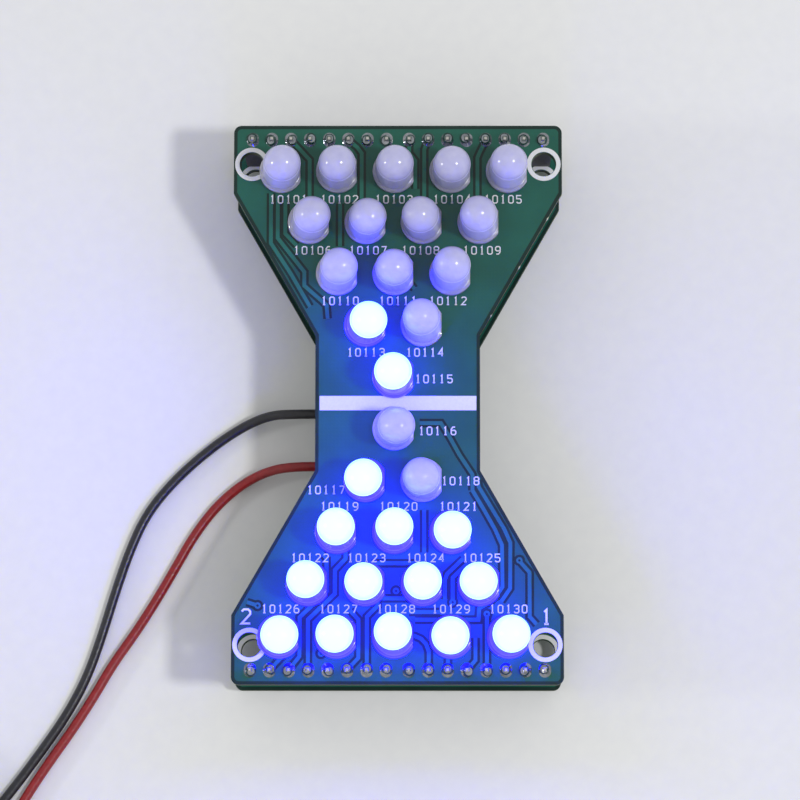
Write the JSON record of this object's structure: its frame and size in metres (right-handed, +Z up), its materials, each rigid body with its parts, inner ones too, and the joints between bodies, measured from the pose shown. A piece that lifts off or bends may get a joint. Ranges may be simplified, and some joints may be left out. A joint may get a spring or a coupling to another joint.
{
  "type": "electronic hourglass timer",
  "caption": "Electronic hourglass timer: stacked circuit boards cut to an hourglass outline, triangles of round LEDs on the front, and red and black supply wires.",
  "frame": {"origin": "on the surface that the timer lies on, under the middle of the boards", "axes": "+Z up through the LEDs, +Y along the hourglass to its upper end in the picture, +X across it to the side away from the wires"},
  "size_m": [0.0945, 0.1097, 0.0243],
  "materials": {
    "board_mask": "glossy green solder mask on glass epoxy",
    "led_lens": "milky diffusing epoxy, unlit",
    "led_lens_lit": "milky diffusing epoxy, lit",
    "solder": "bright solder",
    "tinned_metal": "tinned pins, leads and legs",
    "spring_contacts": "plain spring metal",
    "strip_plastic": "satin black",
    "chip_plastic": "moulded black epoxy",
    "steel_can": "drawn metal can",
    "disc_coating": "dipped orange-brown coating",
    "can_sleeve": "shrunk dark blue sleeve",
    "resistor_body": "light blue lacquer",
    "base_plastic": "black plastic plug",
    "ball_metal": "plated balls",
    "button_plastic": "satin black",
    "black_insulation": "smooth black wire insulation",
    "red_insulation": "smooth red wire insulation"
  },
  "bodies": {
    "stack": {"controller_board": "board_mask", "led_board": "board_mask", "led_leads": "tinned_metal", "led_board_solder": "solder", "pin_headers": "strip_plastic", "header_pins": "tinned_metal", "socket_strips": "strip_plastic", "socket_contacts": "spring_contacts", "socket_solder": "solder", "chip_socket": "strip_plastic", "chip_socket_contacts": "spring_contacts", "controller_solder": "solder", "microcontroller": "chip_plastic", "microcontroller_legs": "tinned_metal", "crystal": "steel_can", "component_leads": "tinned_metal", "load_capacitors": "disc_coating", "reset_capacitor": "can_sleeve", "reset_resistor": "resistor_body", "tilt_switch_can": "steel_can", "tilt_switch_base": "base_plastic", "button_housing": "button_plastic", "black_wire": "black_insulation", "black_coil": "black_insulation", "black_wire_tip": "tinned_metal", "red_wire": "red_insulation", "red_coil": "red_insulation", "red_wire_tip": "tinned_metal", "led_01": "led_lens", "led_02": "led_lens", "led_03": "led_lens", "led_04": "led_lens", "led_05": "led_lens", "led_06": "led_lens", "led_07": "led_lens", "led_08": "led_lens", "led_09": "led_lens", "led_10": "led_lens", "led_11": "led_lens", "led_12": "led_lens", "led_13": "led_lens_lit", "led_14": "led_lens", "led_15": "led_lens_lit", "led_16": "led_lens", "led_17": "led_lens_lit", "led_18": "led_lens", "led_19": "led_lens_lit", "led_20": "led_lens_lit", "led_21": "led_lens_lit", "led_22": "led_lens_lit", "led_23": "led_lens_lit", "led_24": "led_lens_lit", "led_25": "led_lens_lit", "led_26": "led_lens_lit", "led_27": "led_lens_lit", "led_28": "led_lens_lit", "led_29": "led_lens_lit", "led_30": "led_lens_lit"},
    "tilt_balls": {"tilt_switch_balls": "ball_metal"},
    "button": {"button_plunger": "button_plastic"}
  },
  "joints": [
    {"name": "tilt_balls_roll", "type": "slide", "parent": "stack", "child": "tilt_balls", "axis": [0, 1, 0], "range_m": [-0.00095, 0.00095]},
    {"name": "button_press", "type": "slide", "parent": "stack", "child": "button", "axis": [-1, 0, 0], "range_m": [0, 0.00025], "stiffness_N_per_m": 1500, "springref_m": -0.0001}
  ]
}
